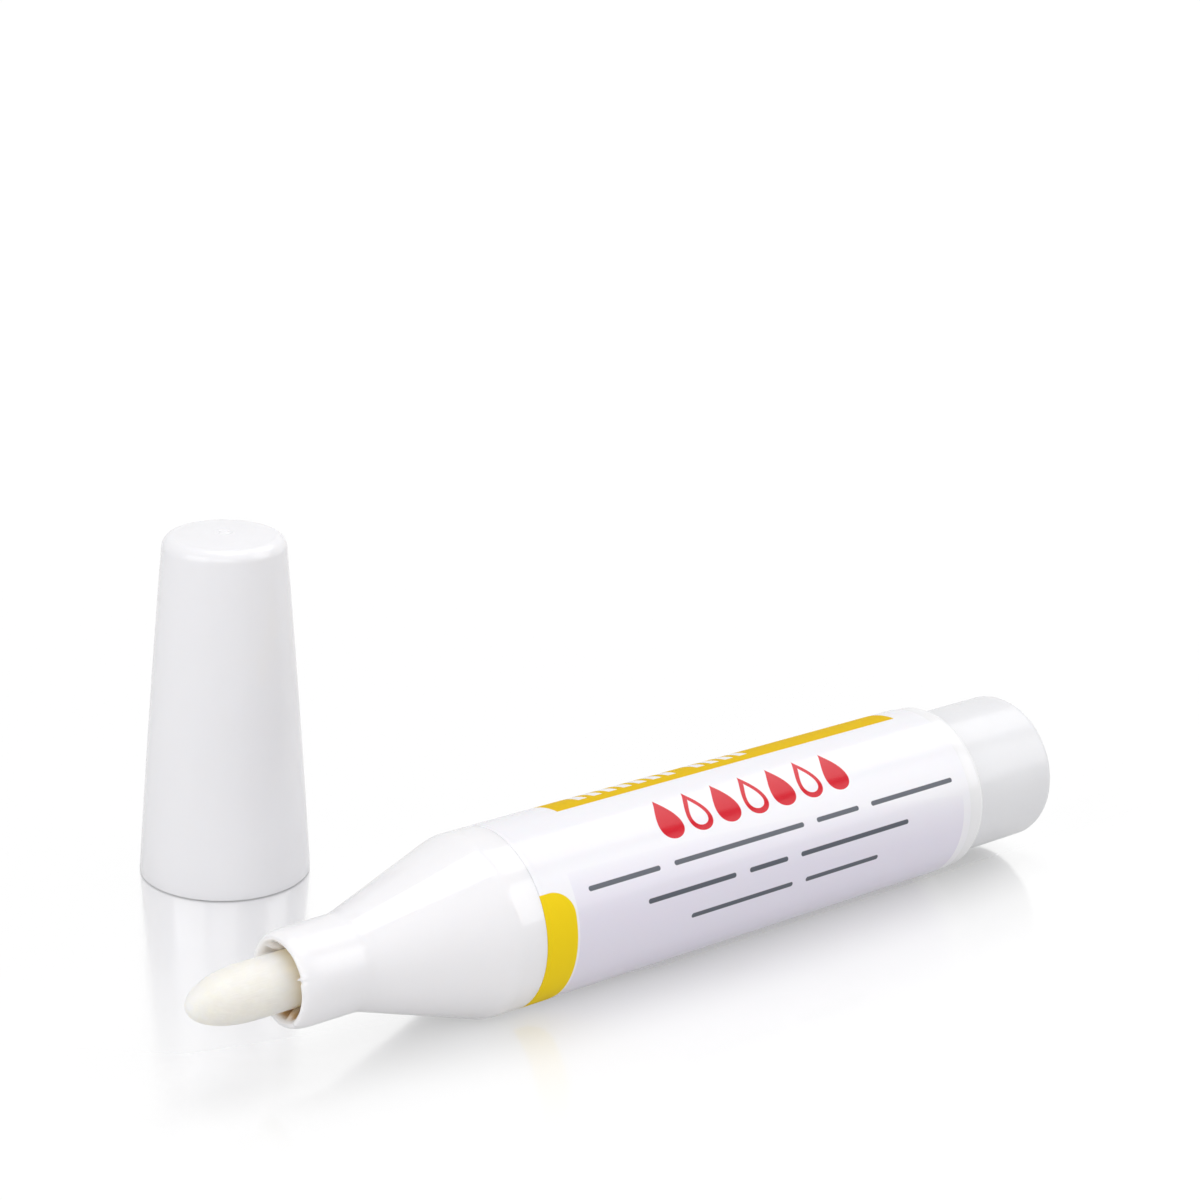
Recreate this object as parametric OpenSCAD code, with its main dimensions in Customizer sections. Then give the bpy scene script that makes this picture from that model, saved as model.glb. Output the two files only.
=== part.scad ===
// Nail oil pen with a felt nib and a spring valve. The pen lies along X with its nib towards -X,
// and its cap stands on its mouth beside it, towards +Y. Both rest on the plane z = 0.
// Lengths are millimetres. Places along the pen are counted from the seam between nose and barrel,
// positive towards the tail.

/* [Barrel] */
// Outside radius of the barrel tube
barrel_r = 7.42; // [7.3:0.02:7.8]
// Wall of the barrel
barrel_wall = 1.12; // [1.06:0.02:1.3]
// Length of the barrel, from the seam to its rear end
barrel_len = 49.3; // [46:0.1:60]
// Rounding of the barrel's rear edge
barrel_edge = 0.86; // [0.3:0.02:0.9]

/* [Label] */
// Thickness of the label film
label_t = 0.08; // [0.05:0.01:0.15]
// Bare margin of the barrel behind the label
label_margin = 2.1; // [1.2:0.1:6]
// How far the label runs over the seam onto the nose
label_lap = 0.3; // [0.1:0.05:1]

/* [Nose] */
// Length of the cylindrical shoulder in front of the seam
shoulder_len = 3.04; // [2:0.02:5]
// Length of the cone
cone_len = 11.16; // [9:0.02:14]
// Wall of the front tube, between its rib grooves and its outside
tube_wall = 0.88; // [0.7:0.02:1.1]
// Length of the front tube, with its rounded lip
tube_len = 6.05; // [5:0.05:8]
// Length of the rounded lip at the front
lip_len = 1.85; // [1:0.05:2.4]
// How much the lip narrows
lip_drop = 0.42; // [0.2:0.02:0.5]
// Number of ribs that hold the nib
rib_count = 12; // [6:1:16]
// Width of a rib
rib_w = 0.5; // [0.3:0.05:0.6]
// Height of a rib
rib_h = 0.67; // [0.5:0.01:0.8]
// Wall of the spigot, inside its seal groove and beads
spigot_wall = 1.4; // [1.2:0.05:1.6]
// Length of the spigot inside the barrel
spigot_len = 11.6; // [11:0.1:16]

/* [Nib] */
// Radius of the nib
nib_r = 2.25; // [2.1:0.01:2.35]
// Length of the whole nib
nib_len = 18.8; // [16:0.1:20]
// How far the nib stands out of the front tube
nib_out = 7.85; // [7:0.05:9]
// Length of the rounded point
nib_point = 5.2; // [4:0.1:6]
// Running clearance between nib and ribs
nib_gap = 0.08; // [0.03:0.01:0.1]

/* [Valve] */
// Travel of the nib and the plunger
valve_travel = 1.5; // [1:0.1:1.7]
// Depth of the valve seat in front of the seam
seat_depth = 4; // [3.6:0.1:4.4]
// Thickness of the wall that carries the seat
seat_wall = 1.2; // [0.8:0.1:1.5]
// Radius of the oil hole in the seat
seat_hole_r = 2.1; // [2:0.05:2.3]
// Radius of the plunger's rod
rod_r = 1.3; // [1.1:0.05:1.5]
// Radius of the plunger's head, which meets the nib
head_r = 1.9; // [1.7:0.05:1.95]
// Thickness of the plunger's head
head_t = 0.8; // [0.6:0.1:1.2]
// How far the plunger's flange laps the cage's rim, which stops it
stop_lap = 0.3; // [0.15:0.05:0.5]
// Thickness of the plunger's flange
flange_t = 1.2; // [0.8:0.1:1.4]
// Thickness of the seal washer
seal_t = 0.9; // [0.6:0.05:1]
// Radius of the plunger's guide pin
pin_r = 1.1; // [0.9:0.05:1.2]
// Running clearance between pin and guide
pin_gap = 0.06; // [0.02:0.01:0.1]

/* [Spring] */
// Radius of the spring's wire
wire_r = 0.25; // [0.2:0.01:0.3]
// Clearance between the coil and the cage
coil_gap = 0.4; // [0.3:0.05:0.5]
// Turns of the coil
coil_turns = 8; // [5:1:9]

/* [Cage] */
// Inner radius of the cage
cage_bore_r = 2.6; // [2.5:0.05:2.8]
// Wall of the cage
cage_wall = 0.8; // [0.6:0.05:0.9]
// Length of the spring room in the cage, behind its collar's front face
cage_room = 9.9; // [9:0.1:10]
// Thickness of the cage's collar
collar_t = 1.6; // [1.2:0.1:2]
// Thickness of the cage's floor
cage_floor = 1; // [0.8:0.1:1.4]
// Number of oil ports round the cage
port_count = 4; // [3:1:5]
// Width of an oil port
port_w = 1.5; // [1:0.1:1.7]

/* [Rear plug] */
// How much thinner the tail is than the barrel, as a step in the radius
tail_step = 0.87; // [0.7:0.01:0.95]
// Length of the tail behind the barrel
tail_len = 9.85; // [8:0.05:14]
// Rounding of the tail's rear edge
tail_edge = 0.8; // [0.3:0.05:1]
// Length of the plug's spigot inside the barrel
plug_depth = 8.3; // [7:0.1:10]
// Wall of the plug
plug_wall = 1.3; // [1.15:0.05:1.8]

/* [Seals] */
// Thickness of the rubber rings
ring_d = 0.9; // [0.7:0.02:1]
// Clearance of the spigots in the barrel's bore
spigot_gap = 0.1; // [0.05:0.01:0.2]

/* [Cap] */
// Height of the cap
cap_h = 31.1; // [30.5:0.1:34]
// Radius of the cap below the rounding of its top edge
cap_top_r = 5.34; // [5.2:0.02:6]
// Rounding of the top edge
cap_edge = 1.1; // [0.6:0.05:1.4]
// Height of the dome on top
cap_dome = 0.25; // [0.1:0.05:0.5]
// Wall of the cap
cap_wall = 0.9; // [0.8:0.05:1.1]
// Width of the rim that the cap stands on
cap_rim_w = 0.5; // [0.3:0.05:0.7]

/* [Cap liner] */
// Clearance between the liner's lower end and the cone, with the cap on
liner_clear = 0.28; // [0.2:0.02:0.5]
// Clearance between the front tube's rim and the liner's step, with the cap on
rim_clear = 0.33; // [0.1:0.01:0.6]
// Radius of the nib room above the step
liner_room_r = 3.0; // [2.9:0.02:3.1]
// Height of the fins over the closed top of the liner
liner_head = 3.7; // [2.5:0.1:4.5]
// Wall of the liner
liner_wall = 0.8; // [0.6:0.05:0.9]
// Thickness of the liner's fins
fin_t = 0.8; // [0.5:0.1:1.2]
// Number of fins
fin_count = 4; // [3:1:6]
// Gap of the grip round the front tube
grip_gap = 0.05; // [0.03:0.01:0.1]

/* [Layout] */
// Place of the standing cap along the pen, from the seam
cap_along = -3.3; // [-15:0.1:40]
// Distance of the standing cap's axis from the pen's axis
cap_aside = 34.5; // [17:0.1:60]

/* [Hidden] */
$fn = 96;

// overrun of a cut past the face that it opens
over = 0.5;
barrel_bore_r = barrel_r - barrel_wall;
// clearance between pieces that are pressed or glued together, so that their faces don't interfere
snug = 0.02;
// small edge breaks on moulded pieces
edge = 0.3;

// nose
shoulder_r = barrel_r + label_t;
rib_crest_r = nib_r + nib_gap;
nose_bore_r = rib_crest_r + rib_h;
tube_r = nose_bore_r + tube_wall;
nose_len = shoulder_len + cone_len + tube_len;
cone_end = -(shoulder_len + cone_len);
rim_z = -nose_len;
lip_z = rim_z + lip_len;
rim_r = tube_r - lip_drop;
// length over which the shoulder rounds into the cone, and the cone into the front tube
shoulder_bend = 0.8;
tube_bend = 0.9;
// rounding of the bore's mouth
mouth_edge = 0.15;
bend_steps = 6;
spigot_r = barrel_bore_r - spigot_gap;

// nib
tip_z = rim_z - nib_out;
nib_rear_z = tip_z + nib_len;
nib_break = 0.25;
point_steps = 20;

// valve, from front to back
seat_z = -seat_depth;
seal_rear_z = seat_z + seal_t;
flange_rear_z = seal_rear_z + flange_t;
flange_r = cage_bore_r + stop_lap;
coil_r = cage_bore_r - coil_gap - wire_r;
boss_r = coil_r - 2*wire_r;
boss_len = 1;
stop_clear = 0.05;
collar_z = flange_rear_z + valve_travel + stop_clear;
floor_z = collar_z + cage_room;
cage_end_z = floor_z + cage_floor;
cage_r = cage_bore_r + cage_wall;
// step in the nose's bore that the cage's collar seats on
collar_step = 0.4;
chamber_r = spigot_r - spigot_wall;
room_r = chamber_r - collar_step;
rib_end_z = nib_rear_z - nib_break - edge;
pin_tip = 0.3;
pin_end_z = cage_end_z - pin_tip;
slot_w = 1.2;
slot_depth = 0.8;
port_front_z = collar_z + collar_t + 0.5*port_w;
port_rear_z = floor_z - 0.5*port_w;

// spring: one ring of points for every step round the coil
wire_sides = 6;
rings_per_turn = 8;
spring_gap = 0.02;
coil_front_z = flange_rear_z + wire_r + spring_gap;
coil_rear_z = floor_z - wire_r - spring_gap;
coil_rings = coil_turns*rings_per_turn;
coil_pitch = (coil_rear_z - coil_front_z)/coil_turns;
echo(gap_between_turns = coil_pitch*cos(atan(coil_pitch/(2*PI*coil_r))) - 2*wire_r);

// barrel, plug and seals
label_end = barrel_len - label_margin;
ring_r = ring_d/2;
ring_mid_r = barrel_bore_r - ring_r;
groove_play = 0.22;
groove_w = ring_d + groove_play;
groove_floor_r = barrel_bore_r - ring_d;
// places of the ring and the bead on the nose's spigot, and the bead's width
nose_ring_z = 3.6;
nose_bead_z = 7.6;
bead_w = 1.2;
tail_r = barrel_r - tail_step;
tail_end = barrel_len + tail_len;
plug_front = barrel_len - plug_depth;
// places of the plug's ring and bead, counted forward from the barrel's rear end
plug_ring_back = 2.6;
plug_bead_back = 5.6;
plug_ring_z = barrel_len - plug_ring_back;
plug_bead_z = barrel_len - plug_bead_back;
plug_bore_r = spigot_r - plug_wall;

// cap, with its height counted from the table
cap_r = shoulder_r;
wall_top = cap_h - cap_dome - cap_edge;
draft = (cap_r - cap_top_r)/wall_top;
cone_slope = (shoulder_r - tube_r)/cone_len;
crown = 0.08;
crown_steps = 6;
mouth_r = cap_r - cap_rim_w;
mouth_h = (cap_wall - cap_rim_w)/(cone_slope - draft);
cap_roof = 1;
roof_z = cap_h - cap_dome - cap_roof;
grip_r = tube_r + grip_gap;
// how far in front of the shoulder the cap's rim meets the cone, with the cap on
cap_seat = cap_rim_w/cone_slope;
liner_z = cone_len - cap_seat + liner_clear;
liner_step_z = cone_len - cap_seat + tube_len + rim_clear;
liner_top_z = roof_z - liner_head;
liner_roof_z = liner_top_z - liner_wall;
lead_in = 0.4;
fin_gap = 0.06;
fin_top_z = roof_z - fin_gap;

// layout: the box round the whole object is centred on the origin
seam_x = -(tail_end + tip_z)/2;
pen_y = -(cap_aside + cap_r - shoulder_r)/2;
cap_x = seam_x + cap_along;
cap_y = pen_y + cap_aside;

// points of a soft bend from a to b whose tangents meet at p
function bend(a, p, b, n) = [for (i = [0:n]) let (u = i/n) (1 - u)*(1 - u)*a + 2*u*(1 - u)*p + u*u*b];
// points of an elliptic arc with centre c and half axes h, from angle a0 to angle a1
function arc(c, h, a0, a1, n) =
    [for (i = [0:n]) let (t = a0 + (a1 - a0)*i/n) [c[0] + h[0]*cos(t), c[1] + h[1]*sin(t)]];
// points of a sealing bead that rises from radius r to radius top round the place z
function bead(r, top, z, w) = bend([r, z - w/2], [2*top - r, z], [r, z + w/2], 2*bend_steps);
// outside and inside radius of the cap at height z, with a slight crown
function cap_out(z) = cap_r - draft*z + 4*crown*(z/wall_top)*(1 - z/wall_top);
function cap_in(z) = cap_out(z) - cap_wall;

// turns an outline of [radius, place] points round the Z axis
module turned(points) {
    rotate_extrude() polygon(points);
}

// lays a piece along the pen's axis
module on_pen() {
    translate([seam_x, pen_y, shoulder_r]) rotate([0, 90, 0]) children();
}

// stands a piece on the cap's axis
module on_cap() {
    translate([cap_x, cap_y, 0]) children();
}

// rubber ring of the seals
module rubber_ring(z) {
    translate([0, 0, z]) rotate_extrude() translate([ring_mid_r, 0]) circle(r = ring_r, $fn = 48);
}

// wire coil from a to b along its axis, one closed tube
module wire_coil(a, b) {
    points = [for (i = [0:coil_rings]) let (t = 360*i/rings_per_turn, z = a + (b - a)*i/coil_rings)
        for (j = [0:wire_sides - 1]) let (s = 360*j/wire_sides, r = coil_r + wire_r*cos(s))
            [r*cos(t), r*sin(t), z + wire_r*sin(s)]];
    last = coil_rings*wire_sides;
    sides = [for (i = [0:coil_rings - 1]) for (j = [0:wire_sides - 1])
        let (p = i*wire_sides + j, q = i*wire_sides + (j + 1)%wire_sides)
            each [[p, q, q + wire_sides], [p, q + wire_sides, p + wire_sides]]];
    front = [for (j = [1:wire_sides - 2]) [0, j + 1, j]];
    rear = [for (j = [1:wire_sides - 2]) [last, last + j, last + j + 1]];
    polyhedron(concat(points), [for (f = concat(sides, front, rear)) [f[0], f[2], f[1]]]);
}

module barrel() {
    color("white") on_pen() turned(concat(
        [[barrel_bore_r, 0], [barrel_r, 0]],
        arc([barrel_r - barrel_edge, barrel_len - barrel_edge], [barrel_edge, barrel_edge], 0, 90, 8),
        [[barrel_bore_r, barrel_len]]));
}

module label() {
    color("gold") on_pen() turned([
        [barrel_r, -label_lap],
        [shoulder_r, -label_lap],
        [shoulder_r, label_end],
        [barrel_r, label_end]]);
}

// front section with the valve seat inside: shoulder, cone, front tube and the spigot behind the seam
module nose_body() {
    slope = [shoulder_r - tube_r, cone_len]/norm([shoulder_r - tube_r, cone_len]);
    corner = [shoulder_r, -shoulder_len];
    root = [tube_r, cone_end];
    turned(concat(
        [[rim_r, rim_z]],
        arc([rim_r, lip_z], [lip_drop, lip_len], -90, 0, 10),
        bend(root - [0, tube_bend], root, root + tube_bend*slope, bend_steps),
        bend(corner - shoulder_bend*slope, corner, corner + [0, shoulder_bend], bend_steps),
        [[shoulder_r, -label_lap],
         [barrel_r, -label_lap],
         [barrel_r, 0],
         [spigot_r, 0],
         [spigot_r, nose_ring_z - groove_w/2],
         [groove_floor_r, nose_ring_z - groove_w/2],
         [groove_floor_r, nose_ring_z + groove_w/2],
         [spigot_r, nose_ring_z + groove_w/2]],
        bead(spigot_r, barrel_bore_r, nose_bead_z, bead_w),
        [[spigot_r, spigot_len - edge],
         [spigot_r - edge, spigot_len],
         [chamber_r, spigot_len],
         [chamber_r, collar_z],
         [room_r, collar_z],
         [room_r, seat_z],
         [seat_hole_r, seat_z],
         [seat_hole_r, seat_z - seat_wall],
         [nose_bore_r, seat_z - seat_wall]],
        bend([nose_bore_r, rim_z + mouth_edge], [nose_bore_r, rim_z],
             [nose_bore_r + mouth_edge, rim_z], bend_steps)));
}

module nose() {
    color("white") on_pen() {
        nose_body();
        // ribs that hold the nib, with oil ways between them
        translate([0, 0, rim_z + mouth_edge]) linear_extrude(rib_end_z - rim_z - mouth_edge) intersection() {
            difference() {
                circle(r = nose_bore_r + lip_drop/2);
                circle(r = rib_crest_r);
            }
            for (i = [0:rib_count - 1])
                rotate(360*(i + 0.5)/rib_count) translate([0, -rib_w/2]) square([nose_bore_r + lip_drop, rib_w]);
        }
    }
}

module nib() {
    color("cornsilk") on_pen() turned(concat(
        arc([0, tip_z + nib_point], [nib_r, nib_point], -90, 0, point_steps),
        [[nib_r, nib_rear_z - nib_break],
         [nib_r - nib_break, nib_rear_z],
         [0, nib_rear_z]]));
}

module valve_stem() {
    color("gainsboro") on_pen() turned([
        [0, nib_rear_z],
        [head_r, nib_rear_z],
        [head_r, nib_rear_z + head_t],
        [rod_r, nib_rear_z + head_t],
        [rod_r, seal_rear_z],
        [flange_r, seal_rear_z],
        [flange_r, flange_rear_z],
        [boss_r, flange_rear_z],
        [boss_r, flange_rear_z + boss_len],
        [pin_r, flange_rear_z + boss_len],
        [pin_r, pin_end_z - pin_tip],
        [pin_r - pin_tip, pin_end_z],
        [0, pin_end_z]]);
}

module valve_seal() {
    color("dimgray") on_pen() turned([
        [rod_r + snug, seat_z],
        [flange_r, seat_z],
        [flange_r, seal_rear_z],
        [rod_r + snug, seal_rear_z]]);
}

module valve_spring() {
    color("silver") on_pen() wire_coil(coil_front_z, coil_rear_z);
}

module valve_cage() {
    color("whitesmoke") on_pen() difference() {
        turned([
            [cage_bore_r, collar_z],
            [chamber_r - snug, collar_z],
            [chamber_r - snug, collar_z + collar_t],
            [cage_r, collar_z + collar_t],
            [cage_r, cage_end_z],
            [pin_r + pin_gap, cage_end_z],
            [pin_r + pin_gap, floor_z],
            [cage_bore_r, floor_z]]);
        // oil ports through the wall
        for (i = [0:port_count - 1])
            rotate(360*i/port_count) translate([0, -port_w/2, port_front_z])
                cube([cage_r + over, port_w, port_rear_z - port_front_z]);
        // slots in the collar's front face, so that the open plunger doesn't shut the oil way
        for (i = [0:port_count - 1])
            rotate(360*(i + 0.5)/port_count) translate([0, -slot_w/2, collar_z - over])
                cube([room_r, slot_w, slot_depth + over]);
    }
}

module nose_seal() {
    color("dimgray") on_pen() rubber_ring(nose_ring_z);
}

module rear_plug() {
    color("white") on_pen() turned(concat(
        [[plug_bore_r, plug_front],
         [spigot_r - edge, plug_front],
         [spigot_r, plug_front + edge]],
        bead(spigot_r, barrel_bore_r, plug_bead_z, bead_w),
        [[spigot_r, plug_ring_z - groove_w/2],
         [groove_floor_r, plug_ring_z - groove_w/2],
         [groove_floor_r, plug_ring_z + groove_w/2],
         [spigot_r, plug_ring_z + groove_w/2],
         [spigot_r, barrel_len],
         [tail_r, barrel_len]],
        arc([tail_r - tail_edge, tail_end - tail_edge], [tail_edge, tail_edge], 0, 90, 8),
        [[0, tail_end],
         [0, tail_end - plug_wall],
         [plug_bore_r, tail_end - plug_wall]]));
}

module plug_seal() {
    color("dimgray") on_pen() rubber_ring(plug_ring_z);
}

module cap_shell() {
    top_r = cap_out(wall_top) - cap_edge;
    color("white") on_cap() turned(concat(
        [for (i = [0:crown_steps]) let (z = wall_top*i/crown_steps) [cap_out(z), z]],
        arc([top_r, wall_top], [cap_edge, cap_edge], 0, 90, 10),
        [for (i = [1:crown_steps]) let (u = i/crown_steps) [top_r*(1 - u), cap_h - cap_dome*(1 - u)*(1 - u)]],
        [[0, roof_z]],
        arc([cap_in(roof_z) - cap_edge, roof_z - cap_edge], [cap_edge, cap_edge], 90, 0, 6),
        [for (i = [crown_steps - 1:-1:0])
            let (z = mouth_h + (roof_z - cap_edge - mouth_h)*i/crown_steps) [cap_in(z), z]],
        [[mouth_r, 0]]));
}

// inner cap: its lower part grips the front tube, the nib has room above, and fins hold it in the shell
module cap_liner() {
    color("whitesmoke") on_cap() {
        turned([
            [grip_r + lead_in, liner_z],
            [grip_r + liner_wall, liner_z],
            [grip_r + liner_wall, liner_step_z + liner_wall],
            [liner_room_r + liner_wall, liner_step_z + liner_wall],
            [liner_room_r + liner_wall, liner_top_z],
            [0, liner_top_z],
            [0, liner_roof_z],
            [liner_room_r, liner_roof_z],
            [liner_room_r, liner_step_z],
            [grip_r, liner_step_z],
            [grip_r, liner_z + lead_in]]);
        for (i = [0:fin_count - 1])
            rotate(360*i/fin_count) rotate([90, 0, 0]) linear_extrude(fin_t, center = true) polygon([
                [liner_room_r + liner_wall/2, liner_step_z + liner_wall/2],
                [cap_in(liner_step_z) - fin_gap, liner_step_z + liner_wall/2],
                [cap_in(roof_z) - fin_gap, fin_top_z - cap_edge],
                [cap_in(roof_z) - fin_gap - cap_edge, fin_top_z],
                [0, fin_top_z],
                [0, liner_top_z - liner_wall/2],
                [liner_room_r + liner_wall/2, liner_top_z - liner_wall/2]]);
    }
}

barrel();
label();
nose();
nib();
valve_stem();
valve_seal();
valve_spring();
valve_cage();
nose_seal();
rear_plug();
plug_seal();
cap_shell();
cap_liner();
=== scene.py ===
# %% [markdown]
# # A nail oil pen, uncapped, with its cap standing beside it
# The pen is a white moulded tube with a cream felt nib. A glossy film is wrapped round the barrel.
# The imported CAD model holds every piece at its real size. This script gives the pieces their finish,
# and draws again, with finer edges and marks, the pieces that a hand or an eye comes close to.

# %% Load the fixed frame
import math

import bmesh
import bpy
import numpy as np
from mathutils import Matrix, Vector


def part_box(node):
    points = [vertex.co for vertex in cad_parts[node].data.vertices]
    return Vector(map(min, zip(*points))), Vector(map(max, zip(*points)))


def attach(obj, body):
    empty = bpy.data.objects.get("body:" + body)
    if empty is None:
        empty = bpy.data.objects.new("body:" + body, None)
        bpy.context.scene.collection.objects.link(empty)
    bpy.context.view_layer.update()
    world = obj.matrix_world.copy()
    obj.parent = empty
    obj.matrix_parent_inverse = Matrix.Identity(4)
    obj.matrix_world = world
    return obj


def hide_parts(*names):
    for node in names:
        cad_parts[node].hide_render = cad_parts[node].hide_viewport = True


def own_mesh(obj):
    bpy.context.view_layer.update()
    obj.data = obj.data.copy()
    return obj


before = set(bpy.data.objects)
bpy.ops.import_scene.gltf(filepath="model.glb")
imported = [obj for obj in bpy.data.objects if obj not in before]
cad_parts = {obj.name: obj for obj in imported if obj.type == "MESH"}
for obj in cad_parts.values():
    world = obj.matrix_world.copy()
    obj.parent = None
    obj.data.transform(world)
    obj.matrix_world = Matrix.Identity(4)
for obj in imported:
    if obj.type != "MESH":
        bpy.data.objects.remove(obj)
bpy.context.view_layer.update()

print("nodes:", sorted(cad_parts))

# %% [markdown]
# ## Sizes
# Lengths below are millimetres, and places along the pen are counted from the seam between nose and
# barrel, positive towards the tail. What the frame can say is measured on its boxes, so the drawn
# pieces stay where the CAD pieces are. The rest are the sizes of a moulded edge, a rib or a bend.

# %% Measure the frame
MM = 0.001
barrel_lo, barrel_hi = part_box("barrel")
label_lo, label_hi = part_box("label")
nose_lo, nose_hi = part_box("nose")
nib_lo, nib_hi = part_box("nib")
plug_lo, plug_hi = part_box("rear_plug")
cap_lo, cap_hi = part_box("cap_shell")

SEAM_X = barrel_lo.x
PEN_Y = (label_lo.y + label_hi.y) / 2
PEN_Z = cap_lo.z + (label_hi.y - label_lo.y) / 2
CAP_X = (cap_lo.x + cap_hi.x) / 2
CAP_Y = (cap_lo.y + cap_hi.y) / 2


def from_seam(x):
    """Place along the pen, in millimetres from the seam."""
    return (x - SEAM_X) / MM


def pen_places(*places):
    """The reverse: places along the pen, in millimetres from the seam, as x in metres."""
    return [SEAM_X + place * MM for place in places]


SHOULDER_R = (label_hi.y - label_lo.y) / 2 / MM
BARREL_R = (barrel_hi.y - barrel_lo.y) / 2 / MM
TAIL_R = (plug_hi.y - plug_lo.y) / 2 / MM
NIB_R = (nib_hi.y - nib_lo.y) / 2 / MM
CAP_R = (cap_hi.x - cap_lo.x) / 2 / MM
CAP_H = (cap_hi.z - cap_lo.z) / MM
BARREL_END = from_seam(barrel_hi.x)
LABEL_START, LABEL_END = from_seam(label_lo.x), from_seam(label_hi.x)
RIM, SPIGOT_END = from_seam(nose_lo.x), from_seam(nose_hi.x)
NIB_TIP, NIB_REAR = from_seam(nib_lo.x), from_seam(nib_hi.x)
PLUG_FRONT, TAIL_END = from_seam(plug_lo.x), from_seam(plug_hi.x)
print("pen from", round(NIB_TIP, 2), "to", round(TAIL_END, 2), "mm, barrel radius", round(BARREL_R, 2))

# %% [markdown]
# ## Camera
# The photograph was taken from the nib's side, a little above the table, with a long lens. The place and
# the turn were worked out from the outlines of the pen and the cap. The picture is square.

# %% Place the camera
CAMERA_PLACE = Vector((-136.8, -172.45, 99.3)) * MM
LOOK_SIDEWAYS = Vector((0.645, 0.764, 0)).normalized()
LOOK_DOWN = 0.3185
ROLL = 0.0432
LENS, SENSOR = 81.43, 36.0
NEAREST, FARTHEST = 0.01, 20

look = LOOK_SIDEWAYS * math.cos(LOOK_DOWN) - Vector((0, 0, 1)) * math.sin(LOOK_DOWN)
level = look.cross(Vector((0, 0, 1))).normalized()
upward = level.cross(look)
right = level * math.cos(ROLL) + upward * math.sin(ROLL)
camera_up = right.cross(look)
camera_turn = Matrix((right, camera_up, -look)).transposed().to_4x4()

camera_data = bpy.data.cameras.new("camera")
camera_data.lens = LENS
camera_data.sensor_width = SENSOR
camera_data.clip_start = NEAREST
camera_data.clip_end = FARTHEST
camera = bpy.data.objects.new("camera", camera_data)
camera.matrix_world = Matrix.Translation(CAMERA_PLACE) @ camera_turn
bpy.context.scene.collection.objects.link(camera)
bpy.context.scene.camera = camera
print("camera looks along", [round(x, 3) for x in look])

# %% [markdown]
# ## Node helpers
# Every finish is a small network of nodes. One helper adds a node, sets its options and fills its
# sockets, either with a number or with a link from another node. The next ones make the sums, ramps and
# blends that the finishes are written in. The last ones start a material and link its three channels.


# %% Helper that adds a node
def fill(tree, socket, value):
    """Links the socket to value where value is another node's output, and sets it to value otherwise."""
    if isinstance(value, bpy.types.NodeSocket):
        tree.links.new(value, socket)
    else:
        socket.default_value = value


def add(tree, kind, options=None, **sockets):
    """Adds a node. Sockets are named with _ for each space, and a0, a1 are the sockets by number."""
    made = tree.nodes.new("ShaderNode" + kind)
    for key, value in (options or {}).items():
        setattr(made, key, value)
    for key, value in sockets.items():
        by_number = key[0] == "a" and key[1:].isdigit()
        fill(tree, made.inputs[int(key[1:]) if by_number else key.replace("_", " ")], value)
    return made


# %% Helpers for sums, ramps and blends
def numbered(values):
    """The values under the names a0, a1 and so on, by which add finds a socket's number."""
    return {f"a{number}": value for number, value in enumerate(values)}


def maths(tree, operation, *values):
    """The output of a Math node with these values."""
    return add(tree, "Math", {"operation": operation}, **numbered(values)).outputs[0]


def vectors(tree, operation, *values):
    """The output of a Vector Math node: a number for a length or a dot product, and a vector otherwise."""
    made = add(tree, "VectorMath", {"operation": operation}, **numbered(values))
    return made.outputs["Value" if operation in ("LENGTH", "DOT_PRODUCT") else "Vector"]


def ramp(tree, value, low, high, to_low=0.0, to_high=1.0):
    """The value carried from low..high to to_low..to_high, and held at the ends."""
    made = add(tree, "MapRange", {"clamp": True}, Value=value, From_Min=low, From_Max=high,
               To_Min=to_low, To_Max=to_high)
    return made.outputs["Result"]


def noise(tree, place, scale, detail=2.0):
    """Value of a noise texture, from 0 to 1."""
    return add(tree, "TexNoise", None, Vector=place, Scale=scale, Detail=detail, Roughness=0.5).outputs[0]


def blend_colour(tree, share, first, second):
    """The first colour where share is 0 and the second where it is 1."""
    made = add(tree, "Mix", {"data_type": "RGBA"})
    colours = [socket for socket in made.inputs if socket.type == "RGBA"]
    fill(tree, made.inputs["Factor"], share)
    fill(tree, colours[0], first)
    fill(tree, colours[1], second)
    return [socket for socket in made.outputs if socket.type == "RGBA"][0]


# %% Helpers that start and finish a material
def start_material(name, **sockets):
    """A material, its tree and its Principled shader, with these values on the shader's own sockets."""
    material = bpy.data.materials.new(name)
    material.use_nodes = True
    tree = material.node_tree
    shader = tree.nodes["Principled BSDF"]
    for key, value in sockets.items():
        shader.inputs[key.replace("_", " ")].default_value = value
    return material, tree, shader


def dress(tree, shader, colour, rough, height, strength, depth, **more):
    """Links a colour, a roughness and a bump of this strength and depth, in metres, to the shader."""
    bump = add(tree, "Bump", None, Strength=strength, Distance=depth, Height=height, **more)
    tree.links.new(colour, shader.inputs["Base Color"])
    tree.links.new(rough, shader.inputs["Roughness"])
    tree.links.new(bump.outputs[0], shader.inputs["Normal"])


# %% [markdown]
# ## Floor
# The picture stands on white with a soft mirror image under the pen. A white table alone would come out
# grey in the photograph's light. So the table is lifted for the camera: it shows as partly its own light,
# just above white where nothing shades it, and darkens where the object does. Other rays meet a plain
# chalky table that throws light back up. Gloss sees about half of the lift, so that the pen's underside
# stays dark at its rim. A polish gives the mirror image. It fades in front of the pen, as in the
# photograph.

# %% What a ray sees of the floor
LIFT_IN_GLOSS = 0.55
POLISH, POLISH_FALL = 0.90, 3.0
POLISH_DEPTH, POLISH_FRONT = (-0.055, -0.015), (-0.058, -0.011)


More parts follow.
